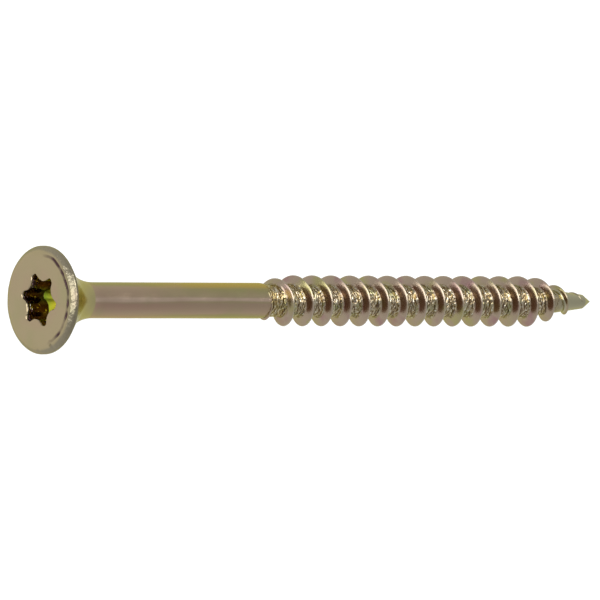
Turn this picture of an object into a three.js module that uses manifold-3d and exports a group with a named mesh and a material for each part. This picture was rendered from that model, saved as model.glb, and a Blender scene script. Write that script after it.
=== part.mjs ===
// Countersunk wood screw, 4.5 x 60 mm, with a six-lobe recess, a plain shank and one coarse right-hand thread.
//
// Frame: millimetres. The screw's axis is the X axis. The head's flat top face lies at x = 0, its centre
// is the origin, and the point is at x = LENGTH. +Z is up.
//
// The screw is one piece of steel: a round core, turned about the axis, is joined to the ridge of its
// thread, and the recess is cut into the head.

import * as THREE from "three";
import { LoftGeometry } from "three/addons/geometries/LoftGeometry.js";
import { mergeVertices } from "three/addons/utils/BufferGeometryUtils.js";
import Module from "manifold-3d";

// Overall
const LENGTH = 60;

// Head: a flat face, a rounded top edge, a narrow cylindrical rim and a 90 degree countersink
const HEAD_DIAMETER = 9.0;
const HEAD_EDGE_WIDTH = 0.54; // how far the rounded edge reaches in from the rim
const HEAD_EDGE_HEIGHT = 0.38;
const HEAD_EDGE_BULGE = 1.35; // 1 makes the edge a straight chamfer, and 2 a quarter of an ellipse
const HEAD_RIM_LAND = 0.24;
const COUNTERSINK_ANGLE = 90; // degrees, included
const NECK_FILLET = 5.0; // radius of the sweep from the countersink into the shank

// Shank
const SHANK_DIAMETER = 3.0;

// Thread
const THREAD_LENGTH = 36.5; // from the first sign of thread to the point
const THREAD_DIAMETER = 4.3;
const ROOT_DIAMETER = 2.7;
const PITCH = 2.05;
const FLANK_ANGLE = 20; // degrees, each flank from square to the axis
const CREST_WIDTH = 0.14;
const RUN_IN_LENGTH = 2.8; // the ridge rises out of the shank over this length
const ROOT_BLEND_LENGTH = 1.0; // the shank narrows to the root over this length
const THREAD_START_ANGLE = 135; // degrees from +Y towards +Z, where the ridge comes out of the shank

// Point
const CORE_TAPER_LENGTH = 7.5; // the root starts to narrow this far from the point
const CREST_TAPER_LENGTH = 6.5; // and the ridge this far
const TIP_LENGTH = 1.0; // the bare cone beyond the last of the thread
const TIP_DIAMETER = 1.2; // the core's diameter where that cone starts

// Recess: six lobes on a straight-sided socket with a conical floor
const RECESS_DIAMETER = 4.5; // across the tips of opposite lobes
const LOBE_HEIGHT = 0.615; // from the waist between two lobes out to their tips
const LOBE_TIP_RADIUS = 0.39;
const LOBE_COUNT = 6;
const RECESS_WALL = 0.57; // metal left between the foot of a lobe and the countersink
const RECESS_FLOOR_HEIGHT = 0.9; // of the cone that the punch leaves at the bottom
const RECESS_ANGLE = 12; // degrees from +Y towards +Z, to the first lobe

// Facets
const FACETS = 32; // round the core, and in each turn of the thread
const EDGE_FACETS = 3; // across the head's rounded edge
const FILLET_FACETS = 7; // along the neck
const LOBE_FACETS = 2; // half the facets in each arc of the recess

// How far a ridge or a cutter runs past the surface that it joins or cuts
const SINK = 0.2;
const EMERGE = 0.03; // the ridge's crest lies this far under the core where the thread starts and ends

// Sizes that follow from the ones above
const headRadius = HEAD_DIAMETER / 2;
const faceRadius = headRadius - HEAD_EDGE_WIDTH;
const shankRadius = SHANK_DIAMETER / 2;
const rootRadius = ROOT_DIAMETER / 2;
const crestRadius = THREAD_DIAMETER / 2;
const tipRadius = TIP_DIAMETER / 2;
const coneAngle = THREE.MathUtils.degToRad(COUNTERSINK_ANGLE / 2);
const coneStart = HEAD_EDGE_HEIGHT + HEAD_RIM_LAND;
const threadStart = LENGTH - THREAD_LENGTH;
const threadEnd = LENGTH - TIP_LENGTH;
const recessRadius = RECESS_DIAMETER / 2;
const recessDepth = coneStart + (headRadius - recessRadius - RECESS_WALL) / Math.tan(coneAngle);

// A profile is a list of Vector2: x is the distance from the axis, and y the distance along it.
const at = (along, radius) => new THREE.Vector2(radius, along);

// Radius of the core along the threaded end
const coreStations = [
  at(threadStart, shankRadius),
  at(threadStart + ROOT_BLEND_LENGTH, rootRadius),
  at(LENGTH - CORE_TAPER_LENGTH, rootRadius),
  at(threadEnd, tipRadius),
  at(LENGTH, 0),
];

// Radius of the thread's crest along the same stretch
const crestStations = [
  at(threadStart, shankRadius - EMERGE),
  at(threadStart + RUN_IN_LENGTH, crestRadius),
  at(LENGTH - CREST_TAPER_LENGTH, crestRadius),
  at(threadEnd, tipRadius - EMERGE),
];

// Radius at a distance along the axis, on the straight lines between the stations
function radiusAt(stations, along) {
  const next = stations.findIndex((station) => station.y >= along);
  if (next < 0) return stations[stations.length - 1].x;
  if (next === 0) return stations[0].x;
  const share = THREE.MathUtils.inverseLerp(stations[next - 1].y, stations[next].y, along);
  return THREE.MathUtils.lerp(stations[next - 1].x, stations[next].x, share);
}

// Rounded top edge of the head, from the flat face to the rim
function headEdge() {
  const points = [];
  for (let i = 0; i <= EDGE_FACETS; i++) {
    const angle = ((Math.PI / 2) * i) / EDGE_FACETS;
    const down = 1 - Math.cos(angle) ** (2 / HEAD_EDGE_BULGE);
    const out = Math.sin(angle) ** (2 / HEAD_EDGE_BULGE);
    points.push(at(HEAD_EDGE_HEIGHT * down, faceRadius + HEAD_EDGE_WIDTH * out));
  }
  return points;
}

// Concave sweep from the countersink to the shank, tangent to both
function neck() {
  const roomOnTheCone = headRadius - shankRadius;
  const fillet = Math.min(NECK_FILLET, (0.9 * roomOnTheCone) / (1 - Math.cos(coneAngle)));
  const corner = coneStart + roomOnTheCone / Math.tan(coneAngle);
  const end = corner + fillet * Math.tan(coneAngle / 2);
  const points = [];
  for (let i = 0; i <= FILLET_FACETS; i++) {
    const angle = coneAngle * (1 - i / FILLET_FACETS);
    points.push(at(end - fillet * Math.sin(angle), shankRadius + fillet * (1 - Math.cos(angle))));
  }
  return points;
}

// Turns a profile about the X axis
function turned(profile) {
  const shape = new THREE.LatheGeometry(profile, FACETS);
  return shape.rotateZ(-Math.PI / 2);
}

// The screw without its thread and its recess
function core() {
  return turned([
    at(0, 0),
    ...headEdge(),
    at(coneStart, headRadius),
    ...neck(),
    ...coreStations,
  ]);
}

// Cross-section of the ridge at one place on its helix, in the plane that holds the axis
function ridgeSection(along, angle) {
  const crest = radiusAt(crestStations, along);
  const base = radiusAt(coreStations, along) - SINK;
  const halfCrest = CREST_WIDTH / 2;
  const halfBase = halfCrest + (crest - base) * Math.tan(THREE.MathUtils.degToRad(FLANK_ANGLE));
  const corners = [
    at(halfBase, base),
    at(halfCrest, crest),
    at(-halfCrest, crest),
    at(-halfBase, base),
  ];
  return corners.map(
    (corner) =>
      new THREE.Vector3(along + corner.y, corner.x * Math.cos(angle), corner.x * Math.sin(angle)),
  );
}

// The thread's ridge, wound from the shank to the point, with its foot sunk into the core
function ridge() {
  const steps = Math.floor(((threadEnd - threadStart) / PITCH) * FACETS);
  const sections = [];
  for (let i = 0; i <= steps; i++) {
    const turns = i / FACETS;
    const angle = THREE.MathUtils.degToRad(THREAD_START_ANGLE) + turns * 2 * Math.PI;
    sections.push(ridgeSection(threadStart + turns * PITCH, angle));
  }
  return new LoftGeometry(sections, { capStart: true, capEnd: true });
}

// Outline of the recess: round tips and round waists by turns, each arc tangent to the next
function lobedOutline() {
  const half = Math.PI / LOBE_COUNT;
  const waist = recessRadius - LOBE_HEIGHT;
  const tipCentre = recessRadius - LOBE_TIP_RADIUS;
  const along = tipCentre * Math.cos(half);
  const waistRadius =
    (tipCentre ** 2 + waist ** 2 - 2 * waist * along - LOBE_TIP_RADIUS ** 2) /
    (2 * (LOBE_TIP_RADIUS + along - waist));
  const waistCentre = waist + waistRadius;
  const sweep = Math.atan2(
    waistCentre * Math.sin(half),
    waistCentre * Math.cos(half) - tipCentre,
  );
  const outline = new THREE.Shape();
  for (let i = 0; i < LOBE_COUNT; i++) {
    const tip = THREE.MathUtils.degToRad(RECESS_ANGLE) + 2 * half * i;
    const gap = tip + half;
    outline.absarc(
      tipCentre * Math.cos(tip),
      tipCentre * Math.sin(tip),
      LOBE_TIP_RADIUS,
      tip - sweep,
      tip + sweep,
      false,
    );
    outline.absarc(
      waistCentre * Math.cos(gap),
      waistCentre * Math.sin(gap),
      waistRadius,
      tip + sweep + Math.PI,
      gap + half - sweep + Math.PI,
      true,
    );
  }
  return outline;
}

// The lobed prism that the punch drives into the head, from in front of the face to below the floor
function lobedPrism() {
  const prism = new THREE.ExtrudeGeometry(lobedOutline(), {
    depth: SINK + recessDepth + RECESS_FLOOR_HEIGHT + SINK,
    bevelEnabled: false,
    curveSegments: LOBE_FACETS,
  });
  prism.translate(0, 0, -SINK);
  const acrossY = new THREE.Vector3(0, 1, 0);
  const acrossZ = new THREE.Vector3(0, 0, 1);
  const inwards = new THREE.Vector3(1, 0, 0);
  return prism.applyMatrix4(new THREE.Matrix4().makeBasis(acrossY, acrossZ, inwards));
}

// The punch's round envelope, whose pointed end makes the conical floor
function punch() {
  const clear = recessRadius + SINK;
  return turned([
    at(-SINK / 2, 0),
    at(-SINK / 2, clear),
    at(recessDepth, clear),
    at(recessDepth + RECESS_FLOOR_HEIGHT, 0),
  ]);
}

const wasm = await Module();
wasm.setup();

// A closed geometry as a solid that can be joined and cut
function solid(geometry) {
  const surface = new THREE.BufferGeometry();
  surface.setAttribute("position", geometry.getAttribute("position"));
  surface.setIndex(geometry.index);
  const merged = mergeVertices(surface, 1e-4);
  return new wasm.Manifold(
    new wasm.Mesh({
      numProp: 3,
      vertProperties: merged.attributes.position.array,
      triVerts: new Uint32Array(merged.index.array),
    }),
  );
}

// A solid as a geometry with flat facets
function geometryOf(made) {
  const mesh = made.getMesh();
  const geometry = new THREE.BufferGeometry();
  geometry.setAttribute("position", new THREE.BufferAttribute(mesh.vertProperties, 3));
  geometry.setIndex(new THREE.BufferAttribute(mesh.triVerts, 1));
  const faceted = geometry.toNonIndexed();
  faceted.computeVertexNormals();
  return faceted;
}

function woodScrew() {
  const recess = solid(lobedPrism()).intersect(solid(punch()));
  const made = solid(core()).add(solid(ridge())).subtract(recess);
  const yellowZinc = new THREE.MeshStandardMaterial({
    color: 0x8f8260,
    roughness: 0.35,
    metalness: 1,
  });
  const mesh = new THREE.Mesh(geometryOf(made), yellowZinc);
  mesh.name = "wood_screw";
  return mesh;
}

const part = new THREE.Group();
part.add(woodScrew());

export default part;
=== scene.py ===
"""Looks of a countersunk wood screw in yellow-passivated zinc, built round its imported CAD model.

Lengths are in millimetres until a mesh is made, and in metres in the scene. The screw's axis is X: the
head's flat face lies at x = 0 and the point at the end of the CAD box. The head, neck and shank are rings
of points round the axis. A Geometry Nodes tree winds the thread on from the end of the shank.
"""

import logging
import math
from dataclasses import dataclass, field
from enum import Enum
from typing import NamedTuple, Sequence, Union

import bmesh
import bpy
import numpy as np
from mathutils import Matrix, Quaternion, Vector, noise


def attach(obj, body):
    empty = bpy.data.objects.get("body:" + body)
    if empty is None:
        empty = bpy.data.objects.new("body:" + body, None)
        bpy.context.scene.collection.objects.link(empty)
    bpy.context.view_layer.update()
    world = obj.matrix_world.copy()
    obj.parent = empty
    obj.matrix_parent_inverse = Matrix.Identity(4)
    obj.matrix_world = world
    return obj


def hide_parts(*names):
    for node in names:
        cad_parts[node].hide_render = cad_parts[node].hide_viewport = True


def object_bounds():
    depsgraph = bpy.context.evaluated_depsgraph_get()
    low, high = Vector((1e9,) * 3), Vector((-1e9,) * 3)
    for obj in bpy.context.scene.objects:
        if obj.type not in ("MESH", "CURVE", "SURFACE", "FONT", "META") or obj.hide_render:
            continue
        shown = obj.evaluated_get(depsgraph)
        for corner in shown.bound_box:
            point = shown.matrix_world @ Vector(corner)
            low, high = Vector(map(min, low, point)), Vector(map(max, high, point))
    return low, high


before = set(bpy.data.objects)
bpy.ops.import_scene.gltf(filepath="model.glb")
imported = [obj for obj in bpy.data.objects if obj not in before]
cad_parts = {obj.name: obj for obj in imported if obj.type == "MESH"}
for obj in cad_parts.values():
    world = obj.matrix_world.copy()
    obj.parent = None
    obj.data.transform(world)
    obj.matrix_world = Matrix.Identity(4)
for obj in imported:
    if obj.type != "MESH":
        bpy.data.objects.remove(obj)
CAD_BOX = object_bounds()

LOG = logging.getLogger("wood_screw")
MM = 0.001
THREAD_LENGTH = 36.5  # from the first sign of the ridge to the point
WELD = 5e-7  # points this close, in metres, become one
SLIVER = 1e-7  # edges this short, in metres, are taken out
AXIS = 0.01  # nearest to the axis, in millimetres, that a direction round it is worked out

Socket = bpy.types.NodeSocket
Feed = Union[Socket, float, int, Sequence[float]]
Colour = tuple[float, float, float, float]
Reach = tuple[float, float]  # where a change begins and where it ends


class Slot(Enum):
    """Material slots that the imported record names."""

    YELLOW_ZINC = "yellow_zinc"


class Mark(Enum):
    """Values that the meshes carry at each point, for the finish to read."""

    RECESS = "recess"  # 0 outside the drive recess, 1 at the foot of its wall, 2 in the middle of its floor
    SEAM = "seam"  # 1 in the shallow groove round the head's face
    GROOVE = "groove"  # 0 on the thread's crest, 1 at its root
    LEAD = "lead"  # 1 on the flank that faces the head, 0 elsewhere
    ROLLED = "rolled"  # 1 where the rolling dies left the surface rough


class Grain(NamedTuple):
    """One pattern of noise."""

    scale: Feed  # how many features fit in a unit
    detail: float = 2.0  # how many finer layers it has
    roughness: float = 0.5  # how strong they are
    seed: Feed = 0.0


class Wander(NamedTuple):
    """One pattern of slow change round the screw."""

    pitch: float  # how many waves fit in a radian
    seed: float


def steps(count: int) -> np.ndarray:
    """Even shares of a length, without 0 and with 1."""
    return np.linspace(0, 1, count + 1)[1:]


class Graph:
    """Adds nodes to a node tree and links them, so that a formula reads in order."""

    def __init__(self, tree: bpy.types.NodeTree) -> None:
        """Works on one tree.

        Args:
            tree: the tree that receives the nodes.
        """
        self.tree = tree

    def feed(self, target: Socket, source: Feed) -> None:
        """Links a socket to a source, or sets its value.

        Args:
            target: the input socket.
            source: an output socket, or the value to set.
        """
        if isinstance(source, bpy.types.NodeSocket):
            self.tree.links.new(source, target)
        else:
            target.default_value = source

    def node(self, kind: str, inputs: dict[Union[str, int], Feed] | None = None,
             **settings) -> bpy.types.Node:
        """Adds a node.

        Args:
            kind: the node's type, such as "ShaderNodeMath".
            inputs: what goes into its sockets, by name or number.
            **settings: the node's own properties.

        Returns:
            The new node.
        """
        made = self.tree.nodes.new(kind)
        for name, value in settings.items():
            setattr(made, name, value)
        for key, source in (inputs or {}).items():
            self.feed(made.inputs[key], source)
        return made

    def math(self, operation: str, *terms: Feed, clamp: bool = False) -> Socket:
        """One Math node.

        Args:
            operation: what it does, such as "ADD".
            *terms: its inputs in order.
            clamp: whether the result is kept from 0 to 1.

        Returns:
            The result's socket.
        """
        made = self.node("ShaderNodeMath", dict(enumerate(terms)), operation=operation, use_clamp=clamp)
        return made.outputs[0]

    def span(self, value: Feed, low: Feed, high: Feed, first: Feed = 0.0, last: Feed = 1.0,
             smooth: bool = False, clamp: bool = True) -> Socket:
        """Maps a value from one range to another.

        Args:
            value: what is mapped.
            low: the value that gives first.
            high: the value that gives last.
            first: the result at low.
            last: the result at high.
            smooth: whether the change eases in and out.
            clamp: whether the result stays between first and last.

        Returns:
            The result's socket.
        """
        kind = "SMOOTHSTEP" if smooth else "LINEAR"
        made = self.node("ShaderNodeMapRange", {0: value, 1: low, 2: high, 3: first, 4: last},
                         interpolation_type=kind, clamp=clamp)
        return made.outputs[0]

    def noise(self, where: Feed, grain: Grain) -> Socket:
        """Noise at a place, from 0 to 1.

        Args:
            where: the coordinates.
            grain: the pattern.

        Returns:
            The value's socket.
        """
        made = self.node("ShaderNodeTexNoise",
                         {"Vector": where, "W": grain.seed, "Scale": grain.scale, "Detail": grain.detail,
                          "Roughness": grain.roughness},
                         noise_dimensions="4D", noise_type="FBM", normalize=True)
        return made.outputs[0]

    def combine(self, x: Feed, y: Feed, z: Feed) -> Socket:
        """A vector from three values."""
        return self.node("ShaderNodeCombineXYZ", {0: x, 1: y, 2: z}).outputs[0]

    def split(self, vector: Feed) -> tuple[Socket, Socket, Socket]:
        """The three values of a vector."""
        return tuple(self.node("ShaderNodeSeparateXYZ", {0: vector}).outputs)

    def hypotenuse(self, first: Socket, second: Socket) -> Socket:
        """Long side of a right-angled triangle, such as the distance from the axis.

        Args:
            first: one short side.
            second: the other.

        Returns:
            The length's socket.
        """
        squares = [self.math("MULTIPLY", side, side) for side in (first, second)]
        return self.math("SQRT", self.math("ADD", *squares))

    def blend(self, share: Feed, first: Feed, second: Feed) -> Socket:
        """Blends two colours.

        Args:
            share: how much of the second, from 0 to 1.
            first: the colour at 0.
            second: the colour at 1.

        Returns:
            The colour's socket.
        """
        made = self.node("ShaderNodeMix", {0: share, 6: first, 7: second}, data_type="RGBA",
                         blend_type="MIX", clamp_factor=True)
        return made.outputs[2]


@dataclass(frozen=True)
class Recess:
    """The six-lobe drive recess that the punch leaves in the head."""

    diameter: float = 4.5
    lobe_height: float = 0.615
    tip_radius: float = 0.39
    lobes: int = 6
    angle: float = 12.0  # degrees from +Y towards +Z, to the first lobe
    depth: float = 2.3
    floor_height: float = 0.9
    mouth_radius: float = 0.1
    draft: float = 0.04  # how much wider the mouth is than the foot

    def reach(self, angles: np.ndarray) -> np.ndarray:
        """Distance from the axis to the outline.

        Args:
            angles: radians from +Y towards +Z.

        Returns:
            The distance at each angle, in millimetres.
        """
        half = math.pi / self.lobes
        waist = self.diameter / 2 - self.lobe_height
        tip = self.diameter / 2 - self.tip_radius
        along = tip * math.cos(half)
        hollow = (tip**2 + waist**2 - 2 * waist * along - self.tip_radius**2) / (
            2 * (self.tip_radius + along - waist))
        centre = waist + hollow
        sweep = math.atan2(centre * math.sin(half), centre * math.cos(half) - tip)
        change = math.atan2(self.tip_radius * math.sin(sweep), tip + self.tip_radius * math.cos(sweep))
        turned = angles - math.radians(self.angle)
        off = np.abs((turned + half) % (2 * half) - half)
        inner = half - off
        on_tip = tip * np.cos(off) + np.sqrt(np.maximum(self.tip_radius**2 - (tip * np.sin(off)) ** 2, 0))
        on_waist = centre * np.cos(inner) - np.sqrt(
            np.maximum(hollow**2 - (centre * np.sin(inner)) ** 2, 0))
        return np.where(off < change, on_tip, on_waist)


@dataclass
class Rings:
    """Rings of points round the axis, from the middle of the recess to the end of the shank."""

    angles: np.ndarray
    along: list[np.ndarray] = field(default_factory=list)
    radius: list[np.ndarray] = field(default_factory=list)
    recessed: list[np.ndarray] = field(default_factory=list)
    seam: list[np.ndarray] = field(default_factory=list)

    def add(self, along: Union[float, np.ndarray], radius: Union[float, np.ndarray],
            recessed: float = 0.0, seam: Union[float, np.ndarray] = 0.0) -> None:
        """Adds one ring.

        Args:
            along: the distance from the head's face.
            radius: the distance from the axis.
            recessed: the ring's value of Mark.RECESS.
            seam: its values of Mark.SEAM.
        """
        flat = np.ones_like(self.angles)
        self.along.append(along * flat)
        self.radius.append(radius * flat)
        self.recessed.append(recessed * flat)
        self.seam.append(seam * flat)

    def mesh(self, name: str, pole: float) -> bpy.types.Mesh:
        """Joins the rings with faces and closes the first one over the axis.

        Args:
            name: the mesh's name.
            pole: the pole's distance from the head's face.

        Returns:
            A mesh that is open at its last ring.
        """
        count = len(self.angles)
        along = np.concatenate(self.along)
        radius = np.concatenate(self.radius)
        angles = np.tile(self.angles, len(self.along))
        points = np.stack([along, radius * np.cos(angles), radius * np.sin(angles)], axis=1)
        points = np.vstack([points, [pole, 0, 0]]) * MM
        faces = [(len(points) - 1, (i + 1) % count, i) for i in range(count)]
        for row in range(len(self.along) - 1):
            for i in range(count):
                here, beside = row * count + i, row * count + (i + 1) % count
                faces.append((here, beside, beside + count, here + count))
        made = bpy.data.meshes.new(name)
        made.from_pydata(points.tolist(), [], faces)
        for mark, rings, last in ((Mark.RECESS, self.recessed, 2.0), (Mark.SEAM, self.seam, 0.0)):
            values = np.append(np.concatenate(rings), last).astype(np.float32)
            made.attributes.new(mark.value, "FLOAT", "POINT").data.foreach_set("value", values)
        return made


@dataclass(frozen=True)
class HeadAndShank:
    """The upset head, its neck and the plain drawn shank below it."""

    head_diameter: float
    thread_start: float
    recess: Recess = field(default_factory=Recess)
    edge_width: float = 0.54
    edge_height: float = 0.38
    edge_bulge: float = 1.35  # 1 is a straight chamfer, 2 a quarter of an ellipse
    rim_land: float = 0.24
    cone_angle: float = 45.0  # degrees, from the axis
    neck_fillet: float = 5.0
    shank_diameter: float = 3.0
    face_unevenness: float = 0.014
    edge_unevenness: float = 0.09
    nick_depth: float = 0.11
    nick_gain: float = 3.0  # how sharply a nick begins
    nick_threshold: float = 0.9  # how rare the nicks are
    seam_depth: float = 0.12
    seam_width: float = 0.34
    seam_angle: float = 175.0  # degrees from +Y towards +Z, to the groove's middle
    seam_end: float = 0.2  # cosine of the angle from there to its ends
    seam_gain: float = 3.0  # how fast it deepens from its ends
    seam_level: float = 0.75  # its usual depth, as a share
    seam_swing: float = 0.9  # how much that comes and goes
    seam_least: float = 0.15
    scrape: float = 0.02
    tear: float = 0.06
    shank_unevenness: float = 0.006
    scrapes: Wander = Wander(5.0, 7.0)
    dishing: Wander = Wander(1.7, 20.0)
    rim_wander: Wander = Wander(3.2, 31.0)
    nicked: Wander = Wander(9.0, 43.0)
    torn: Wander = Wander(11.0, 57.0)
    broken_seam: Wander = Wander(7.0, 66.0)
    drawn: Wander = Wander(1.1, 0.0)
    drawn_change: float = 0.3  # how fast the shank's unevenness changes along it
    foot_lift: float = 0.3  # share of the groove that is left where the face's edge begins
    floor_rings: tuple[float, ...] = (0.2, 0.4, 0.6, 0.8, 0.92, 0.985, 1.0)
    wall_rings: tuple[float, ...] = (0.01, 0.06, 0.18, 0.32, 0.46, 0.6, 0.74, 0.88, 1.0)
    face_rings: tuple[float, ...] = (0.03, 0.12, 0.23, 0.35, 0.47, 0.59, 0.71, 0.83, 0.92, 0.98, 1.0)
    mouth_rings: int = 4
    edge_rings: int = 8
    cone_rings: int = 8
    fillet_rings: int = 14
    shank_rings: int = 34

    def wave(self, angles: np.ndarray, wander: Wander, shift: float = 0.0) -> np.ndarray:
        """Smooth noise round the screw.

        Args:
            angles: where it is read, in radians.
            wander: the pattern.
            shift: moves to a pattern that is a little or quite different.

        Returns:
            Values from about -1 to 1, which meet where the circle closes.
        """
        pitch, layer = wander.pitch, wander.seed + shift
        return np.array([
            noise.noise(Vector((math.cos(a) * pitch, math.sin(a) * pitch, layer))) for a in angles])

    def floor_and_wall(self, rings: Rings) -> None:
        """Adds the recess from its conical floor up to the start of its rounded mouth.

        Args:
            rings: receives the rings.
        """
        recess = self.recess
        reach = recess.reach(rings.angles)
        for share in self.floor_rings:
            depth = recess.depth + recess.floor_height * (1 - share)
            rings.add(depth, (reach - recess.draft) * share, 2.0 - share)
        for share in self.wall_rings:
            depth = recess.depth + (recess.mouth_radius - recess.depth) * share
            hump = math.sin(math.pi * share)
            scrape = self.scrape * self.wave(rings.angles, self.scrapes, 2 * share) * hump
            wall = reach - recess.draft * (1 - share) + scrape + self.burr(rings.angles) * share
            rings.add(depth, wall, 1.0 - share)

    def mouth_and_face(self, rings: Rings) -> None:
        """Adds the rounded mouth of the recess and the flat face as far as its edge.

        Args:
            rings: receives the rings.
        """
        recess = self.recess
        reach = recess.reach(rings.angles)
        for share in steps(self.mouth_rings):
            turn = share * math.pi / 2
            out = recess.mouth_radius * (1 - math.cos(turn)) + self.burr(rings.angles)
            rings.add(recess.mouth_radius * (1 - math.sin(turn)), reach + out)
        inner = reach + recess.mouth_radius + self.burr(rings.angles)
        outer = self.face_radius(rings.angles) - self.seam_width
        for share in self.face_rings:
            hump = math.sin(math.pi * share)
            wave = 0.5 + 0.5 * self.wave(rings.angles, self.dishing, 2 * share)
            rings.add(self.face_unevenness * wave * hump, inner + (outer - inner) * share)

    def face_radius(self, angles: np.ndarray) -> np.ndarray:
        """Where the flat face ends, which wanders a little round the rim."""
        nominal = self.head_diameter / 2 - self.edge_width
        wander = self.edge_unevenness * self.wave(angles, self.rim_wander)
        return nominal + wander - self.nicks(angles)

    def nicks(self, angles: np.ndarray) -> np.ndarray:
        """How deep handling has nicked the head's edge at each angle."""
        deep = self.wave(angles, self.nicked) * self.nick_gain - self.nick_threshold
        return self.nick_depth * np.clip(deep, 0, 1)

    def burr(self, angles: np.ndarray) -> np.ndarray:
        """How far the punch has torn the recess's mouth at each angle."""
        return self.tear * self.wave(angles, self.torn)

    def groove(self, angles: np.ndarray) -> np.ndarray:
        """How deep the groove between the face and its edge is, as a share: it comes and goes."""
        turned = angles - math.radians(self.seam_angle)
        near = np.clip((np.cos(turned) - self.seam_end) * self.seam_gain, 0, 1)
        level = self.seam_level + self.seam_swing * self.wave(angles, self.broken_seam)
        return near * np.clip(level, self.seam_least, 1)

    def edge_and_rim(self, rings: Rings) -> None:
        """Adds the shallow groove round the face, the face's rounded edge and the narrow rim.

        Args:
            rings: receives the rings.
        """
        face = self.face_radius(rings.angles)
        rim = self.head_diameter / 2
        groove = self.groove(rings.angles)
        power = 2 / self.edge_bulge
        rings.add(self.seam_depth * groove * 0.7, face - self.seam_width * 0.7, seam=groove)
        rings.add(self.seam_depth * groove, face - self.seam_width * 0.35, seam=groove)
        rings.add(self.seam_depth * groove * self.foot_lift, face)
        for share in steps(self.edge_rings):
            turn = share * math.pi / 2
            down, out = 1 - math.cos(turn) ** power, math.sin(turn) ** power
            rest = (1 - down) * (self.seam_depth * self.foot_lift * groove + 0.5 * self.nicks(rings.angles))
            rings.add(self.edge_height * down + rest, face + (rim - face) * out)
        rings.add(self.edge_height + self.rim_land * 0.5, rim)
        rings.add(self.edge_height + self.rim_land, rim)

    def neck_and_shank(self, rings: Rings) -> None:
        """Adds the countersink, the sweep under it and the shank.

        Args:
            rings: receives the rings.
        """
        cone, shank = math.radians(self.cone_angle), self.shank_diameter / 2
        top = self.edge_height + self.rim_land
        room = self.head_diameter / 2 - shank
        end = top + room / math.tan(cone) + self.neck_fillet * math.tan(cone / 2)
        foot_along = end - self.neck_fillet * math.sin(cone)
        foot_radius = shank + self.neck_fillet * (1 - math.cos(cone))
        for share in steps(self.cone_rings):
            along = top + (foot_along - top) * share
            rings.add(along, self.head_diameter / 2 + (foot_radius - self.head_diameter / 2) * share)
        for share in steps(self.fillet_rings):
            turn = cone * (1 - share)
            rings.add(end - self.neck_fillet * math.sin(turn),
                      shank + self.neck_fillet * (1 - math.cos(turn)))
        for share in steps(self.shank_rings):
            along = end + (self.thread_start - end) * share
            change = along * self.drawn_change
            dip = self.shank_unevenness * np.minimum(self.wave(rings.angles, self.drawn, change), 0)
            rings.add(along, shank + dip * math.sin(math.pi * share))

    def mesh(self, angles: np.ndarray) -> bpy.types.Mesh:
        """Builds the head and shank.

        Args:
            angles: where the points of each ring lie, in radians.

        Returns:
            A mesh that is open at the end of the shank.
        """
        rings = Rings(angles)
        self.floor_and_wall(rings)
        self.mouth_and_face(rings)
        self.edge_and_rim(rings)
        self.neck_and_shank(rings)
        return rings.mesh("wood_screw_body", self.recess.depth + self.recess.floor_height)


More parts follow.
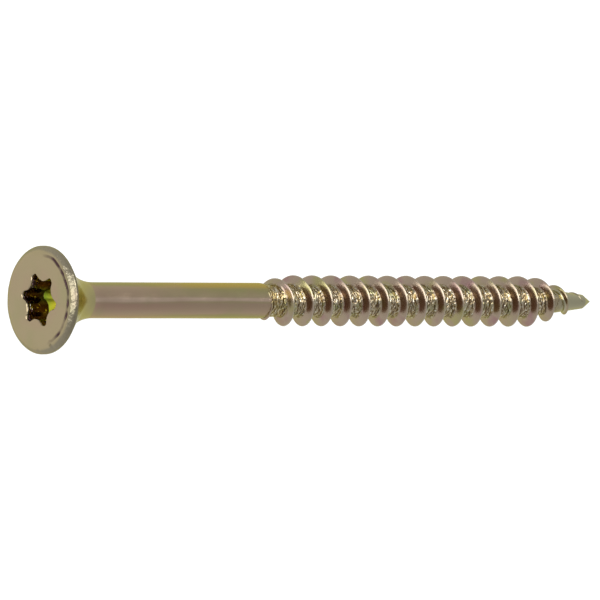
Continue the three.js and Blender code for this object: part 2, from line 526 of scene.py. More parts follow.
@dataclass(frozen=True)
class Thread:
    """One coarse right-hand thread, wound by Geometry Nodes from the shank to the point."""

    length: float
    start: float
    around: int = 144  # points in one turn
    rows: int = 30  # rows of points in one pitch
    start_angle: float = 135.0  # degrees from +Y towards +Z
    shank_diameter: float = 3.0
    diameter: float = 4.3
    root_diameter: float = 2.7
    pitch: float = 2.05
    flank_angle: float = 20.0
    crest_round: float = 0.05  # how far the worn crest's round reaches to each side
    run_in: float = 2.8
    root_blend: float = 1.0
    core_taper: float = 7.5
    crest_taper: float = 6.5
    tip_length: float = 1.0
    tip_diameter: float = 1.2
    point: float = 0.05  # rows that end this close to the point run into it
    emerge: float = 0.05  # the crest lies this far under the core where the thread starts and ends
    root_fillet: float = 0.02
    gather: float = 0.6  # how far the rows are drawn towards the crest
    crumple: float = 0.035  # depth of the rolled texture in the root
    crumple_size: float = 0.5
    crest_wear: float = 0.03
    wear_size: float = 0.9
    ridge_foot: float = 1.5  # root fillets above the core where the ridge's flank is whole
    rolled_start: float = 0.4  # root blends past the start where the texture is at full depth
    rolled_end: float = 3.5  # tip lengths before the point where the texture is gone
    rolled_fade: float = 2.0  # tip lengths over which it goes
    crease_swing: float = 4.0  # how far the texture rises and falls, in depths
    crease_bias: float = -0.6  # and how low it lies
    seed: float = 4.0

    def angles(self) -> np.ndarray:
        """Where the points of a ring lie, so that the shank's last ring meets the thread's first."""
        return np.radians(self.start_angle) + np.arange(self.around) * 2 * math.pi / self.around

    def sizes(self) -> dict[str, float]:
        """The tree's inputs by name, in metres, or as plain numbers."""
        return {
            "Length": self.length * MM,
            "Start": self.start * MM,
            "Start Angle": math.radians(self.start_angle),
            "Shank Radius": self.shank_diameter / 2 * MM,
            "Crest Radius": self.diameter / 2 * MM,
            "Root Radius": self.root_diameter / 2 * MM,
            "Pitch": self.pitch * MM,
            "Flank Slope": math.tan(math.radians(self.flank_angle)),
            "Crest Round": self.crest_round * MM,
            "Run In": self.run_in * MM,
            "Root Blend": self.root_blend * MM,
            "Core Taper": self.core_taper * MM,
            "Crest Taper": self.crest_taper * MM,
            "Tip Length": self.tip_length * MM,
            "Tip Radius": self.tip_diameter / 2 * MM,
            "Point": self.point * MM,
            "Emerge": self.emerge * MM,
            "Root Fillet": self.root_fillet * MM,
            "Gather": self.gather / (2 * math.pi),
            "Crumple": self.crumple * MM,
            "Crumple Size": self.crumple_size * MM,
            "Crest Wear": self.crest_wear * MM,
            "Seed": self.seed,
        }

    def places(self, g: Graph, size: dict[str, Socket]) -> tuple[Socket, Socket, Socket]:
        """Lays the grid's rows along the helix.

        Args:
            g: the tree's graph.
            size: the tree's inputs by name.

        Returns:
            Each point's distance along the axis, its share of a turn, and how many pitches it lies
            past the nearest crest, from -0.5 to 0.5.
        """
        index = g.node("GeometryNodeInputIndex").outputs[0]
        row = g.math("FLOOR", g.math("DIVIDE", index, self.around + 1))
        column = g.math("SUBTRACT", index, g.math("MULTIPLY", row, self.around + 1))
        share = g.math("DIVIDE", column, self.around)
        turns = g.math("DIVIDE", row, self.rows)
        pull = g.math("SINE", g.math("MULTIPLY", turns, 2 * math.pi))
        turns = g.math("SUBTRACT", turns, g.math("MULTIPLY", pull, size["Gather"]))
        wound = g.math("SUBTRACT", g.math("ADD", turns, share), 1.0)
        free = g.math("MULTIPLY_ADD", wound, size["Pitch"], size["Start"])
        past = g.math("GREATER_THAN", free, g.math("SUBTRACT", size["Length"], size["Point"]))
        free = g.math("ADD", free, g.math("MULTIPLY", past, size["Pitch"]))
        along = g.math("MINIMUM", g.math("MAXIMUM", free, size["Start"]), size["Length"])
        pitches = g.math("DIVIDE", g.math("SUBTRACT", along, size["Start"]), size["Pitch"])
        phase = g.math("FRACT", g.math("ADD", g.math("SUBTRACT", pitches, share), 0.5))
        return along, share, g.math("SUBTRACT", phase, 0.5)

    def core(self, g: Graph, size: dict[str, Socket], along: Socket) -> Socket:
        """Radius under the thread: it narrows from the shank to the root, and from the root to the point.

        Args:
            g: the tree's graph.
            size: the tree's inputs by name.
            along: each point's distance along the axis.

        Returns:
            The radius's socket.
        """
        blended = g.math("ADD", size["Start"], size["Root Blend"])
        taper = g.math("SUBTRACT", size["Length"], size["Core Taper"])
        end = g.math("SUBTRACT", size["Length"], size["Tip Length"])
        first = g.span(along, size["Start"], blended, size["Shank Radius"], size["Root Radius"], smooth=True)
        second = g.span(along, taper, end, size["Root Radius"], size["Tip Radius"], clamp=False)
        third = g.span(along, end, size["Length"], size["Tip Radius"], 0.0, clamp=False)
        return g.math("MINIMUM", first, g.math("MINIMUM", second, third))

    def crest(self, g: Graph, size: dict[str, Socket], along: Socket) -> Socket:
        """Radius of the crest: it rises out of the shank, and dies away towards the point.

        Args:
            g: the tree's graph.
            size: the tree's inputs by name.
            along: each point's distance along the axis.

        Returns:
            The radius's socket.
        """
        full = g.math("ADD", size["Start"], size["Run In"])
        taper = g.math("SUBTRACT", size["Length"], size["Crest Taper"])
        end = g.math("SUBTRACT", size["Length"], size["Tip Length"])
        low = g.math("SUBTRACT", size["Shank Radius"], size["Emerge"])
        last = g.math("SUBTRACT", size["Tip Radius"], size["Emerge"])
        under = g.math("MULTIPLY", size["Tip Radius"], -1.0)
        rise = g.span(along, size["Start"], full, low, size["Crest Radius"])
        fall = g.span(along, taper, end, size["Crest Radius"], last)
        bury = g.span(along, end, size["Length"], last, under, clamp=False)
        return g.math("MINIMUM", rise, g.math("MINIMUM", fall, bury))

    def profile(self, g: Graph, size: dict[str, Socket]) -> tuple[Socket, dict[Mark, Socket]]:
        """Works out every point of the thread.

        Args:
            g: the tree's graph.
            size: the tree's inputs by name.

        Returns:
            The points' positions, and the marks that the finish reads.
        """
        along, share, phase = self.places(g, size)
        angle = g.math("MULTIPLY_ADD", share, 2 * math.pi, size["Start Angle"])
        cosine, sine = g.math("COSINE", angle), g.math("SINE", angle)
        core, crest = self.core(g, size, along), self.crest(g, size, along)

        about = g.combine(along, g.math("MULTIPLY", cosine, core), g.math("MULTIPLY", sine, core))
        wear = g.noise(about, Grain(1 / (self.wear_size * MM), 3.0, 0.6, 1.0))
        crest = g.math("SUBTRACT", crest, g.math("MULTIPLY", wear, size["Crest Wear"]))
        off = g.math("MULTIPLY", g.math("ABSOLUTE", phase), size["Pitch"])
        beyond = g.math("SUBTRACT", g.hypotenuse(off, size["Crest Round"]), size["Crest Round"])
        ridge = g.math("SUBTRACT", crest, g.math("DIVIDE", beyond, size["Flank Slope"]))
        radius = g.math("SMOOTH_MAX", core, ridge, size["Root Fillet"])

        above = g.math("SUBTRACT", radius, core)
        on_ridge = g.span(above, 0.0, g.math("MULTIPLY", size["Root Fillet"], self.ridge_foot), smooth=True)
        begun = g.math("MULTIPLY_ADD", size["Root Blend"], self.rolled_start, size["Start"])
        started = g.span(along, size["Start"], begun)
        end = g.math("SUBTRACT", size["Length"], g.math("MULTIPLY", size["Tip Length"], self.rolled_end))
        fade = g.math("SUBTRACT", end, g.math("MULTIPLY", size["Tip Length"], self.rolled_fade))
        ended = g.span(along, fade, end, 1.0, 0.0)
        rolled = g.math("MULTIPLY", g.math("SUBTRACT", 1.0, on_ridge), g.math("MULTIPLY", started, ended))
        grain = g.noise(about, Grain(g.math("DIVIDE", 1.0, size["Crumple Size"]), 4.0, 0.62, size["Seed"]))
        crease = g.math("ABSOLUTE", g.math("MULTIPLY_ADD", grain, 2.0, -1.0))
        dent = g.math("MULTIPLY", g.math("MULTIPLY_ADD", crease, self.crease_swing, self.crease_bias),
                      size["Crumple"])
        radius = g.math("MULTIPLY_ADD", rolled, dent, radius)

        below = g.math("SUBTRACT", crest, radius)
        depth = g.math("DIVIDE", below, g.math("SUBTRACT", crest, core), clamp=True)
        ahead = g.math("LESS_THAN", phase, 0.0)
        marks = {Mark.GROOVE: depth, Mark.LEAD: g.math("MULTIPLY", ahead, on_ridge), Mark.ROLLED: rolled}
        where = g.combine(along, g.math("MULTIPLY", cosine, radius), g.math("MULTIPLY", sine, radius))
        return where, marks

    def tree(self, finish: bpy.types.Material) -> bpy.types.NodeTree:
        """Builds the tree that adds the thread to the head and shank.

        Args:
            finish: the material that it sets.

        Returns:
            A geometry tree with the sizes as its inputs.
        """
        tree = bpy.data.node_groups.new("wind_thread", "GeometryNodeTree")
        tree.interface.new_socket(name="Geometry", in_out="INPUT", socket_type="NodeSocketGeometry")
        for name in self.sizes():
            tree.interface.new_socket(name=name, in_out="INPUT", socket_type="NodeSocketFloat")
        tree.interface.new_socket(name="Geometry", in_out="OUTPUT", socket_type="NodeSocketGeometry")
        g = Graph(tree)
        given = g.node("NodeGroupInput")
        size = {name: given.outputs[name] for name in self.sizes()}
        pitches = (self.length - self.start) / self.pitch + 1
        grid = g.node("GeometryNodeMeshGrid",
                      {"Vertices X": math.ceil(pitches * self.rows) + 2, "Vertices Y": self.around + 1})
        where, marks = self.profile(g, size)
        shape = grid.outputs[0]
        for mark, value in marks.items():
            shape = g.node("GeometryNodeStoreNamedAttribute", {"Geometry": shape, "Name": mark.value,
                           "Value": value}, data_type="FLOAT", domain="POINT").outputs[0]
        shape = g.node("GeometryNodeSetPosition", {"Geometry": shape, "Position": where}).outputs[0]
        joined = g.node("GeometryNodeJoinGeometry")
        tree.links.new(given.outputs["Geometry"], joined.inputs[0])
        tree.links.new(shape, joined.inputs[0])
        merged = g.node("GeometryNodeMergeByDistance", {"Geometry": joined.outputs[0], "Distance": WELD})
        real = g.node("GeometryNodeRealizeInstances", {"Geometry": merged.outputs[0]})
        dressed = g.node("GeometryNodeSetMaterial", {"Geometry": real.outputs[0], "Material": finish})
        g.node("NodeGroupOutput", {0: dressed.outputs[0]})
        return tree

    def wind(self, blank: bpy.types.Mesh, finish: bpy.types.Material) -> bpy.types.Object:
        """Adds the thread to the head and shank, and makes the whole screw one plain closed mesh.

        Args:
            blank: the head and shank, open at the end of the shank.
            finish: the screw's material.

        Returns:
            The finished piece, at the origin.
        """
        piece = bpy.data.objects.new(blank.name, blank)
        bpy.context.scene.collection.objects.link(piece)
        modifier = piece.modifiers.new("thread", "NODES")
        modifier.node_group = self.tree(finish)
        values = self.sizes()
        for socket in modifier.node_group.interface.items_tree:
            if socket.in_out == "INPUT" and socket.name in values:
                modifier[socket.identifier] = values[socket.name]
        graph = bpy.context.evaluated_depsgraph_get()
        made = bpy.data.meshes.new_from_object(piece.evaluated_get(graph), depsgraph=graph)
        piece.modifiers.clear()
        piece.data = made
        made.name = blank.name
        return piece


def close(piece: bpy.types.Object) -> None:
    """Turns every face outwards, shades the piece smooth and reports any edge that is left open.

    Args:
        piece: a mesh object.
    """
    work = bmesh.new()
    work.from_mesh(piece.data)
    bmesh.ops.dissolve_degenerate(work, dist=SLIVER, edges=work.edges)
    bmesh.ops.recalc_face_normals(work, faces=work.faces)
    open_edges = sum(not edge.is_manifold for edge in work.edges)
    triangles = sum(len(face.verts) - 2 for face in work.faces)
    work.to_mesh(piece.data)
    work.free()
    piece.data.shade_smooth()
    LOG.info("%s: %d triangles, %d open edges", piece.name, triangles, open_edges)


def shared_group(name: str, inputs: dict[str, str], outputs: dict[str, str]) -> tuple[Graph, dict, dict]:
    """Starts a shader node group.

    Args:
        name: the group's name.
        inputs: its inputs, each with a socket type such as "Float".
        outputs: its outputs likewise.

    Returns:
        The group's graph, its inputs' sockets by name, and its outputs' sockets by name.
    """
    tree = bpy.data.node_groups.new(name, "ShaderNodeTree")
    for side, sockets in (("INPUT", inputs), ("OUTPUT", outputs)):
        for socket, kind in sockets.items():
            tree.interface.new_socket(name=socket, in_out=side, socket_type="NodeSocket" + kind)
    g = Graph(tree)
    given, out = g.node("NodeGroupInput"), g.node("NodeGroupOutput")
    return g, {n: given.outputs[n] for n in inputs}, {n: out.inputs[n] for n in outputs}


def bands_group() -> bpy.types.NodeTree:
    """Lengthwise wander round the axis, which sways the shank's bands of painted sheen and painted
    highlight.

    Returns:
        A group that gives a value from 0 to 1, which changes round the axis and hardly along it.
    """
    g, given, out = shared_group(
        "lengthwise_bands",
        {"Place": "Vector", "Count": "Float", "Stretch": "Float"},
        {"Value": "Float"})
    x, y, z = g.split(given["Place"])
    radius = g.math("MAXIMUM", g.hypotenuse(y, z), AXIS)
    round_y = g.math("MULTIPLY", g.math("DIVIDE", y, radius), given["Count"])
    round_z = g.math("MULTIPLY", g.math("DIVIDE", z, radius), given["Count"])
    where = g.combine(g.math("DIVIDE", x, given["Stretch"]), round_y, round_z)
    g.feed(out["Value"], g.noise(where, Grain(1.0, 3.0, 0.55)))
    return g.tree


def drift_group() -> bpy.types.NodeTree:
    """Slow change of the film's thickness, which shifts its interference colour from rose to green.

    Returns:
        A group that tints a colour.
    """
    g, given, out = shared_group(
        "film_drift",
        {"Place": "Vector", "Colour": "Color", "Rose": "Color", "Green": "Color", "Scale": "Float",
         "Strength": "Float"},
        {"Colour": "Color"})
    first = g.noise(given["Place"], Grain(given["Scale"], seed=2.0))
    second = g.noise(given["Place"], Grain(given["Scale"], seed=9.0))
    rose = g.math("MULTIPLY", g.span(first, 0.5, 0.68, smooth=True), given["Strength"])
    green = g.math("MULTIPLY", g.span(second, 0.5, 0.68, smooth=True), given["Strength"])
    tinted = g.blend(rose, given["Colour"], given["Rose"])
    g.feed(out["Colour"], g.blend(green, tinted, given["Green"]))
    return g.tree


def glint_specks_group() -> bpy.types.NodeTree:
    """Small bright flecks, painted glints.

    Returns:
        A group that gives a mask from 0 to 1.
    """
    g, given, out = shared_group("painted_glint_specks", {"Place": "Vector", "Scale": "Float", "Share": "Float"},
                                 {"Mask": "Float"})
    grain = g.noise(given["Place"], Grain(given["Scale"], 4.0, 0.65, 5.0))
    highest, softness = 0.78, 0.05
    edge = g.math("SUBTRACT", highest, given["Share"])
    g.feed(out["Mask"], g.span(grain, edge, g.math("ADD", edge, softness), smooth=True))
    return g.tree


@dataclass(frozen=True)
class YellowZinc:
    """Zinc plate under a yellow passivation film: khaki, with rose, green and gold bands."""

    thread_start: float
    length: float
    khaki: Colour = (0.56, 0.46, 0.28, 1)
    olive: Colour = (0.47, 0.42, 0.20, 1)
    gold: Colour = (0.62, 0.46, 0.14, 1)
    straw: Colour = (0.60, 0.53, 0.26, 1)
    taupe: Colour = (0.58, 0.43, 0.30, 1)
    # painted highlight: the pale band along the middle of the shank
    pale: Colour = (0.76, 0.58, 0.44, 1)
    rose: Colour = (0.58, 0.39, 0.29, 1)
    green: Colour = (0.42, 0.44, 0.20, 1)
    mauve: Colour = (0.49, 0.385, 0.285, 1)
    plum: Colour = (0.44, 0.28, 0.26, 1)
    brass: Colour = (0.52, 0.42, 0.26, 1)
    # used for painted highlights on the crest and between the root's creases, and for painted glints
    cream: Colour = (0.90, 0.84, 0.68, 1)
    # painted shade: a dark colour for the flanks that face the point, which the flank in front shows as a
    # dark reflection
    painted_shade_bronze: Colour = (0.28, 0.155, 0.09, 1)
    lime: Colour = (0.50, 0.68, 0.06, 1)
    amber: Colour = (0.74, 0.54, 0.03, 1)
    # painted shade: dark colour for the root's creases, the recess walls and the groove round the face
    painted_shade_umber: Colour = (0.115, 0.06, 0.07, 1)
    sage: Colour = (0.57, 0.54, 0.37, 1)
    hay: Colour = (0.64, 0.57, 0.34, 1)
    ash: Colour = (0.35, 0.315, 0.235, 1)
    edge_on: Colour = (0.88, 0.86, 0.50, 1)
    edge: Reach = (0.03, 0.12)  # from the face to its rounded edge
    worn_edge: Reach = (0.03, 0.08)  # where handling has roughened the edge and rim
    worn_end: Reach = (0.7, 0.5)  # and where that stops
    head_end: Reach = (0.5, 2.0)  # from the head's colours to the shank's
    neck_change: Reach = (2.2, 3.2)
    neck_end: Reach = (4.65, 4.95)
    shank_change: Reach = (8.0, 18.0)
    threaded: Reach = (0.1, 0.5)  # past the thread's start
    gold_root: Reach = (1.0, 4.0)  # past the thread's start
    bare_core: Reach = (5.2, 3.6)  # before the point
    rose_face: Reach = (2.0, 3.0)  # from the axis
    olive_face: Reach = (3.4, 4.6)  # from the axis
    lime_floor: Reach = (0.4, 2.0)  # across the recess
    recess_lip: Reach = (0.0, 0.06)  # values of Mark.RECESS
    recess_floor: Reach = (1.0, 1.01)
    cloud: Grain = Grain(0.45, seed=3.0)
    cloud_swing: float = 2.4
    flank_patch: Grain = Grain(0.5, seed=12.0)
    root_patch: Grain = Grain(0.8, seed=15.0)
    folds: Grain = Grain(1.3, 1.5, 0.5, 21.0)
    fold_stretch: tuple[float, float, float] = (1.7, 0.8, 0.8)  # closer along the screw than round it
    fold_count: float = 16.0
    gloss_patch: Grain = Grain(0.9, seed=6.0)
    fine_grain: Grain = Grain(9.0, 3.0, 0.6)
    edge_wear: Grain = Grain(3.0, 3.0, 0.6, 21.0)
    band_count: float = 2.2
    band_stretch: float = 9.0
    band_sway: float = 0.36  # how far the bands wander, as a share of the shank's radius
    drift_scale: float = 0.3
    drift_strength: float = 0.25
    # painted glints: small cream flecks in the root and on the recess walls
    root_glints: tuple[float, float] = (4.0, 0.24)  # their scale and their share
    wall_glints: tuple[float, float] = (2.2, 0.2)
    face_tint: float = 0.3  # of rose and of olive in the face's khaki
    edge_tint: float = 0.8  # of ash on the face's edge
    gold_tint: float = 0.55  # of gold in the first turn's root
    # painted highlight: share of cream on the crest
    crest_painted_highlight: float = 0.4  # of cream on the crest
    # painted shade in the creases and painted highlight between them:
    crease_painted_shade: float = 0.7  # of umber in the creases
    fold_painted_highlight: float = 0.4  # of cream between them
    gloss: Reach = (0.12, 0.2)  # roughness of the film from patch to patch
    grain_roughness: float = 0.06
    floor_roughness: float = 0.4
    relief: float = 0.07 * MM
    rolled_relief: float = 0.8
    torn_relief: float = 0.9
    grain_relief: float = 0.08

    def place(self, g: Graph) -> Socket:
        """The piece's own coordinates, in millimetres."""
        here = g.node("ShaderNodeTexCoord").outputs["Object"]
        return g.node("ShaderNodeVectorMath", {0: here, "Scale": 1 / MM}, operation="SCALE").outputs[0]

    def mark(self, g: Graph, mark: Mark) -> Socket:
        """One of the values that the mesh carries."""
        return g.node("ShaderNodeAttribute", attribute_name=mark.value).outputs["Fac"]

    def ramp(self, g: Graph, value: Socket, stops: Sequence[tuple[float, Colour]]) -> Socket:
        """A colour ramp.

        Args:
            g: the material's graph.
            value: where it is read, from 0 to 1.
            stops: its places and colours in order.

        Returns:
            The colour's socket.
        """
        made = g.node("ShaderNodeValToRGB", {0: value})
        elements = made.color_ramp.elements
        for _ in stops[2:]:
            elements.new(1.0)
        for element, (position, colour) in zip(elements, stops):
            element.position = position
            element.color = colour
        return made.outputs[0]

    def past_start(self, reach: Reach) -> Reach:
        """Turns distances past the thread's start into distances from the head's face."""
        return self.thread_start + reach[0], self.thread_start + reach[1]

    def before_point(self, reach: Reach) -> Reach:
        """Turns distances before the point into distances from the head's face."""
        return self.length - reach[0], self.length - reach[1]

    def glint_specks(self, g: Graph, place: Socket, glint_group: bpy.types.NodeTree,
               how: tuple[float, float]) -> Socket:
        """Small bright flecks, painted glints.

        Args:
            g: the material's graph.
            place: coordinates in millimetres.
            glint_group: the group that makes them.
            how: their scale and their share.

        Returns:
            The mask's socket.
        """
        scale, share = how
        inputs = {"Place": place, "Scale": scale, "Share": share}
        return g.node("ShaderNodeGroup", inputs, node_tree=glint_group).outputs[0]

    def shank_colour(self, g: Graph, place: Socket) -> Socket:
        """Lengthwise bands set by height round the axis: olive or gold on top and rose or straw underneath,
        a painted sheen of the film at a grazing view, with taupe between and a pale painted highlight along
        the middle.

        Args:
            g: the material's graph.
            place: coordinates in millimetres.

        Returns:
            The colour's socket.
        """
        bands = g.node("ShaderNodeGroup",
                       {"Place": place, "Count": self.band_count, "Stretch": self.band_stretch},
                       node_tree=bands_group())
        x, y, z = g.split(place)
        height = g.math("DIVIDE", z, g.math("MAXIMUM", g.hypotenuse(y, z), AXIS))
        sway = g.math("MULTIPLY_ADD", bands.outputs[0], self.band_sway, -self.band_sway / 2)
        level = g.span(g.math("ADD", height, sway), -1.0, 1.0)
        # Painted highlight: the pale band along the middle of both ramps. Painted sheen: the colours towards
        # the top and bottom, the film's colour seen at a grazing angle.
        near = self.ramp(g, level, [
            (0.0, self.rose), (0.12, self.taupe), (0.30, self.rose), (0.38, self.rose),
            (0.44, self.taupe), (0.49, self.pale), (0.56, self.pale), (0.62, self.taupe),
            (0.86, self.taupe), (0.94, self.olive)])
        far = self.ramp(g, level, [
            (0.0, self.straw), (0.07, self.olive), (0.14, self.taupe), (0.36, self.taupe),
            (0.44, self.khaki), (0.49, self.pale), (0.56, self.pale), (0.63, self.khaki),
            (0.80, self.olive), (0.88, self.gold)])
        shank = g.blend(g.span(x, *self.shank_change, smooth=True), near, far)
        neck = g.blend(g.span(x, *self.neck_change, smooth=True), self.hay, self.straw)
        return g.blend(g.span(x, *self.neck_end, smooth=True), neck, shank)

    def face_colour(self, g: Graph, place: Socket) -> Socket:
        """Khaki on the head's face, rosier beside the recess, olive towards the edge and ashen on it.

        Args:
            g: the material's graph.
            place: coordinates in millimetres.

        Returns:
            The colour's socket.
        """
        x, y, z = g.split(place)
        cloud = g.noise(place, self.cloud)
        sway = g.math("MULTIPLY_ADD", cloud, self.cloud_swing, -self.cloud_swing / 2)
        wide = g.math("ADD", g.hypotenuse(y, z), sway)
        rosy = g.span(wide, *self.rose_face, self.face_tint, 0.0, smooth=True)
        near = g.blend(rosy, self.khaki, self.rose)
        outer = g.span(wide, *self.olive_face, 0.0, self.face_tint, smooth=True)
        face = g.blend(outer, near, self.olive)
        return g.blend(g.span(x, *self.edge, 0.0, self.edge_tint), face, self.ash)

    def fold(self, g: Graph, place: Socket) -> Socket:
        """Crumpled texture: 0 along its creases and up to 1 between them.

        Args:
            g: the material's graph.
            place: coordinates in millimetres.

        Returns:
            The value's socket.
        """
        along = g.node("ShaderNodeVectorMath", {0: place, 1: self.fold_stretch}, operation="MULTIPLY")
        crumple = g.noise(along.outputs[0], self.folds)
        return g.math("ABSOLUTE", g.math("SINE", g.math("MULTIPLY", crumple, self.fold_count)))

    def thread_colour(self, g: Graph, place: Socket, glint_group: bpy.types.NodeTree) -> Socket:
        """Mauve flanks with olive and plum patches; dark red-brown on the flanks that face the point, a
        painted shade that the flank in front reflects; cream on the crest, a painted highlight; and a brassy
        root with painted shade in its creases, painted highlights between them and cream painted glints.

        Args:
            g: the material's graph.
            place: coordinates in millimetres.
            glint_group: the group of small bright flecks, painted glints.

        Returns:
            The colour's socket.
        """
        x = g.split(place)[0]
        flank = self.ramp(g, g.noise(place, self.flank_patch), [
            (0.34, self.olive), (0.46, self.mauve), (0.56, self.mauve), (0.68, self.plum)])
        lead, groove = self.mark(g, Mark.LEAD), self.mark(g, Mark.GROOVE)
        # Painted shade: the flanks that face the point turn a dark red-brown, so that the flank in front of
        # each reflects them dark.
        back = g.math("MULTIPLY", g.math("SUBTRACT", 1.0, lead), g.span(groove, 0.1, 0.3))
        flank = g.blend(back, flank, self.painted_shade_bronze)
        # Painted highlight: cream along the crest.
        flank = g.blend(g.span(groove, 0.1, 0.02, 0.0, self.crest_painted_highlight), flank, self.cream)
        # Painted glints: small cream flecks in the root.
        glint_specks = self.glint_specks(g, place, glint_group, self.root_glints)
        root = g.blend(g.span(g.noise(place, self.root_patch), 0.5, 0.7), self.brass, self.green)
        root = g.blend(g.span(x, *self.past_start(self.gold_root), self.gold_tint, 0.0), root, self.gold)
        root = g.blend(glint_specks, root, self.cream)
        fold = self.fold(g, place)
        # Painted shade: dark in the crumpled root's creases.
        root = g.blend(g.span(fold, 0.35, 0.05, 0.0, self.crease_painted_shade), root, self.painted_shade_umber)
        # Painted highlight: cream on the folds between the creases.
        root = g.blend(g.span(fold, 0.8, 1.0, 0.0, self.fold_painted_highlight), root, self.cream)
        thread = g.blend(self.mark(g, Mark.ROLLED), flank, root)
        bare = g.math("MULTIPLY", g.span(x, *self.before_point(self.bare_core)), g.span(groove, 0.5, 0.9))
        return g.blend(bare, thread, self.sage)

    def recess_colour(self, g: Graph, place: Socket, glint_group: bpy.types.NodeTree) -> Socket:
        """Umber walls, painted shade in the recess, with cream flecks of painted glint, and a floor from
        amber to lime.

        Args:
            g: the material's graph.
            place: coordinates in millimetres.
            glint_group: the group of small bright flecks, painted glints.

        Returns:
            The colour's socket.
        """
        floor = g.blend(g.span(g.split(place)[1], *self.lime_floor), self.amber, self.lime)
        # Painted shade: dark walls in the recess, with cream painted glints.
        glint_specks = self.glint_specks(g, place, glint_group, self.wall_glints)
        wall = g.blend(glint_specks, self.painted_shade_umber, self.cream)
        return g.blend(g.span(self.mark(g, Mark.RECESS), *self.recess_floor), wall, floor)

    def colour(self, g: Graph, place: Socket) -> Socket:
        """Blends the colours of the head, the shank, the thread and the recess.

        Args:
            g: the material's graph.
            place: coordinates in millimetres.

        Returns:
            The base colour's socket.
        """
        x = g.split(place)[0]
        glint_group = glint_specks_group()
        colour = g.blend(g.span(x, *self.head_end, smooth=True), self.face_colour(g, place),
                         self.shank_colour(g, place))
        drift = g.node("ShaderNodeGroup",
                       {"Place": place, "Colour": colour, "Rose": self.rose, "Green": self.green,
                        "Scale": self.drift_scale, "Strength": self.drift_strength},
                       node_tree=drift_group())
        threaded = g.span(x, *self.past_start(self.threaded))
        colour = g.blend(threaded, drift.outputs[0], self.thread_colour(g, place, glint_group))
        lip = g.span(self.mark(g, Mark.RECESS), *self.recess_lip)
        colour = g.blend(lip, colour, self.recess_colour(g, place, glint_group))
        # Painted shade: dark in the shallow groove round the head's face.
        return g.blend(self.mark(g, Mark.SEAM), colour, self.painted_shade_umber)

    def roughness(self, g: Graph, place: Socket, grain: Socket) -> Socket:
        """Satin gloss in slow patches, and a dull floor in the recess.

        Args:
            g: the material's graph.
            place: coordinates in millimetres.
            grain: fine noise.

        Returns:
            The roughness's socket.
        """
        patch = g.span(g.noise(place, self.gloss_patch), 0.3, 0.7, *self.gloss)
        rough = g.math("ADD", patch, g.math("MULTIPLY", grain, self.grain_roughness))
        floor = g.span(self.mark(g, Mark.RECESS), *self.recess_floor, 0.0, self.floor_roughness)
        return g.math("ADD", rough, floor)

    def height(self, g: Graph, place: Socket, grain: Socket) -> Socket:
        """Relief of the crumpled root, the torn recess and the worn edge of the face.

        Args:
            g: the material's graph.
            place: coordinates in millimetres.
            grain: fine noise.

        Returns:
            The height's socket.
        """
        x, recess = g.split(place)[0], self.mark(g, Mark.RECESS)
        torn = g.span(recess, 0.5, 0.05, 0.0, self.torn_relief)
        torn = g.math("MULTIPLY", torn, g.span(recess, 0.0, 0.02))
        worn = g.math("MULTIPLY", g.span(x, *self.worn_edge), g.span(x, *self.worn_end))
        worn = g.math("MULTIPLY", worn, g.span(recess, 0.02, 0.0))
        rolled = g.math("MULTIPLY", self.mark(g, Mark.ROLLED), self.rolled_relief)
        height = g.math("MULTIPLY", self.fold(g, place), g.math("MAXIMUM", rolled, torn))
        height = g.math("MULTIPLY_ADD", g.noise(place, self.edge_wear), worn, height)
        return g.math("MULTIPLY_ADD", grain, self.grain_relief, height)

    def material(self) -> bpy.types.Material:
        """Builds the finish.

        Returns:
            The material.
        """
        made = bpy.data.materials.new(Slot.YELLOW_ZINC.value)
        made.use_nodes = True
        shader = made.node_tree.nodes["Principled BSDF"]
        g = Graph(made.node_tree)
        place = self.place(g)
        grain = g.noise(place, self.fine_grain)
        shader.inputs["Metallic"].default_value = 1.0
        shader.inputs["Specular Tint"].default_value = self.edge_on
        g.feed(shader.inputs["Base Color"], self.colour(g, place))
        g.feed(shader.inputs["Roughness"], self.roughness(g, place, grain))
        bump = g.node("ShaderNodeBump", {"Height": self.height(g, place, grain), "Strength": 1.0,
                                         "Distance": self.relief})
        g.feed(shader.inputs["Normal"], bump.outputs[0])
        return made


@dataclass(frozen=True)
class PaleFloor:
    """Plain matt white paint."""

    colour: Colour = (0.93, 0.93, 0.93, 1)
    roughness: float = 0.9
    gloss: float = 0.1

    def material(self) -> bpy.types.Material:
        """Builds the finish.

        Returns:
            The material.
        """
        made = bpy.data.materials.new("pale_floor")
        made.use_nodes = True
        shader = made.node_tree.nodes["Principled BSDF"]
        shader.inputs["Base Color"].default_value = self.colour
        shader.inputs["Roughness"].default_value = self.roughness
        shader.inputs["Specular IOR Level"].default_value = self.gloss
        return made


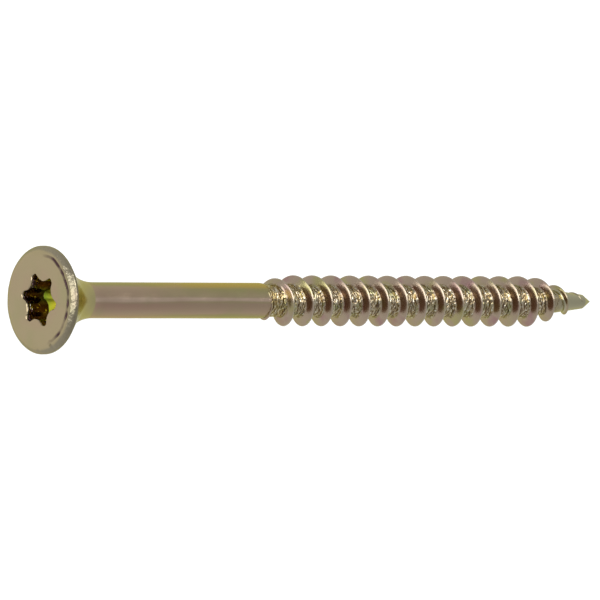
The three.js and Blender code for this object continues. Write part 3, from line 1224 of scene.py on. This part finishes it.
@dataclass(frozen=True)
class Studio:
    """A pale floor, soft lights and the camera."""

    distance: float = 1.685
    bearing: float = 50.22  # degrees between the view and the screw's axis
    aim: float = 0.4685  # share of the length that lies in the middle of the view
    half_view: float = 0.852  # degrees
    roll: float = 0.17  # degrees that the camera leans to its left
    rise: float = 0.065 * MM  # of the middle of the view over the axis
    sensor: float = 36.0
    floor_drop: float = 0.012  # under the screw's axis
    floor_size: float = 60.0
    backdrop: float = 1.2
    behind: float = 0.66  # how bright the room is in the screw's gloss, behind the screw
    before: float = 0.36  # and in front of it
    turn_over: float = 0.8  # how far towards and away from the camera the room's brightness changes
    farthest: float = 100.0  # what the camera still sees

    def floor(self) -> None:
        """Lays a plain pale floor."""
        size = self.floor_size
        mesh = bpy.data.meshes.new("floor")
        corners = [(-size, -size), (size, -size), (size, size), (-size, size)]
        mesh.from_pydata([(x, y, -self.floor_drop) for x, y in corners], [], [(0, 1, 2, 3)])
        plane = bpy.data.objects.new("floor", mesh)
        bpy.context.scene.collection.objects.link(plane)
        mesh.materials.append(PaleFloor().material())
        plane.visible_glossy = False

    def world(self) -> None:
        """Surrounds the screw with a plain white room, which its gloss sees dimmer towards the camera."""
        world = bpy.data.worlds.new("studio")
        bpy.context.scene.world = world
        world.use_nodes = True
        g = Graph(world.node_tree)
        g.tree.nodes.clear()
        gloss = g.node("ShaderNodeLightPath").outputs["Is Glossy Ray"]
        away = g.split(g.node("ShaderNodeTexCoord").outputs["Generated"])[1]
        room = g.span(away, -self.turn_over, self.turn_over, self.before, self.behind)
        strength = g.span(gloss, 0.0, 1.0, self.backdrop, room)
        room = g.node("ShaderNodeBackground", {"Color": (1, 1, 1, 1), "Strength": strength})
        g.node("ShaderNodeOutputWorld", {"Surface": room.outputs[0]})

    def light(self, name: str, bearing: float, height: float, size: tuple[float, float], power: float,
              distance: float = 0.6) -> None:
        """Hangs one soft box, turned to the screw.

        Args:
            name: the light's name.
            bearing: degrees round the screw from +X towards +Y.
            height: degrees above the screw.
            size: its width and height, in metres.
            power: its power, in watts.
            distance: how far away it hangs, in metres.
        """
        data = bpy.data.lights.new(name, "AREA")
        data.shape = "RECTANGLE"
        data.size, data.size_y = size
        data.energy = power
        lamp = bpy.data.objects.new(name, data)
        bpy.context.scene.collection.objects.link(lamp)
        turn, lift = math.radians(bearing), math.radians(height)
        away = Vector((math.cos(turn) * math.cos(lift), math.sin(turn) * math.cos(lift), math.sin(lift)))
        lamp.location = away * distance + self.middle()
        lamp.rotation_mode = "QUATERNION"
        lamp.rotation_quaternion = away.to_track_quat("Z", "Y")
        lamp.visible_camera = False

    def lights(self) -> None:
        """Hangs the soft boxes."""
        self.light("head_box", bearing=205.0, height=8.0, size=(0.69, 0.42), power=1.7)
        self.light("side_box", bearing=275.0, height=25.0, size=(0.45, 0.45), power=1.7)

    def middle(self) -> Vector:
        """The point on the screw's axis in the middle of the view."""
        return Vector((CAD_BOX[1].x * self.aim, 0, 0))

    def camera(self) -> None:
        """Places a long lens level with the screw, in front of its head and to one side."""
        data = bpy.data.cameras.new("camera")
        data.sensor_width = self.sensor
        data.lens = self.sensor / 2 / math.tan(math.radians(self.half_view))
        data.clip_end = self.farthest
        camera = bpy.data.objects.new("camera", data)
        bpy.context.scene.collection.objects.link(camera)
        bearing = math.radians(self.bearing)
        back = Vector((-math.cos(bearing), -math.sin(bearing), 0))
        camera.location = self.middle() + back * self.distance + Vector((0, 0, self.rise))
        camera.rotation_mode = "QUATERNION"
        lean = Quaternion((0, 0, 1), math.radians(self.roll))
        camera.rotation_quaternion = back.to_track_quat("Z", "Y") @ lean
        bpy.context.scene.camera = camera

    def build(self) -> None:
        """Sets the stage."""
        self.floor()
        self.world()
        self.lights()
        self.camera()
        bpy.context.scene.view_settings.view_transform = "Standard"


def build_screw() -> bpy.types.Object:
    """Makes the screw that stands for the CAD node.

    Returns:
        The finished piece.
    """
    length = CAD_BOX[1].x / MM
    thread = Thread(length=length, start=length - THREAD_LENGTH)
    head = HeadAndShank(head_diameter=2 * CAD_BOX[1].z / MM, thread_start=thread.start)
    finish = YellowZinc(thread_start=thread.start, length=length)
    piece = thread.wind(head.mesh(thread.angles()), finish.material())
    close(piece)
    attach(piece, "root")
    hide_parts("wood_screw")
    return piece


def main() -> None:
    """Builds the studio and the screw."""
    logging.basicConfig(level=logging.INFO, format="%(name)s: %(message)s")
    Studio().build()
    build_screw()


if __name__ == "__main__":
    main()
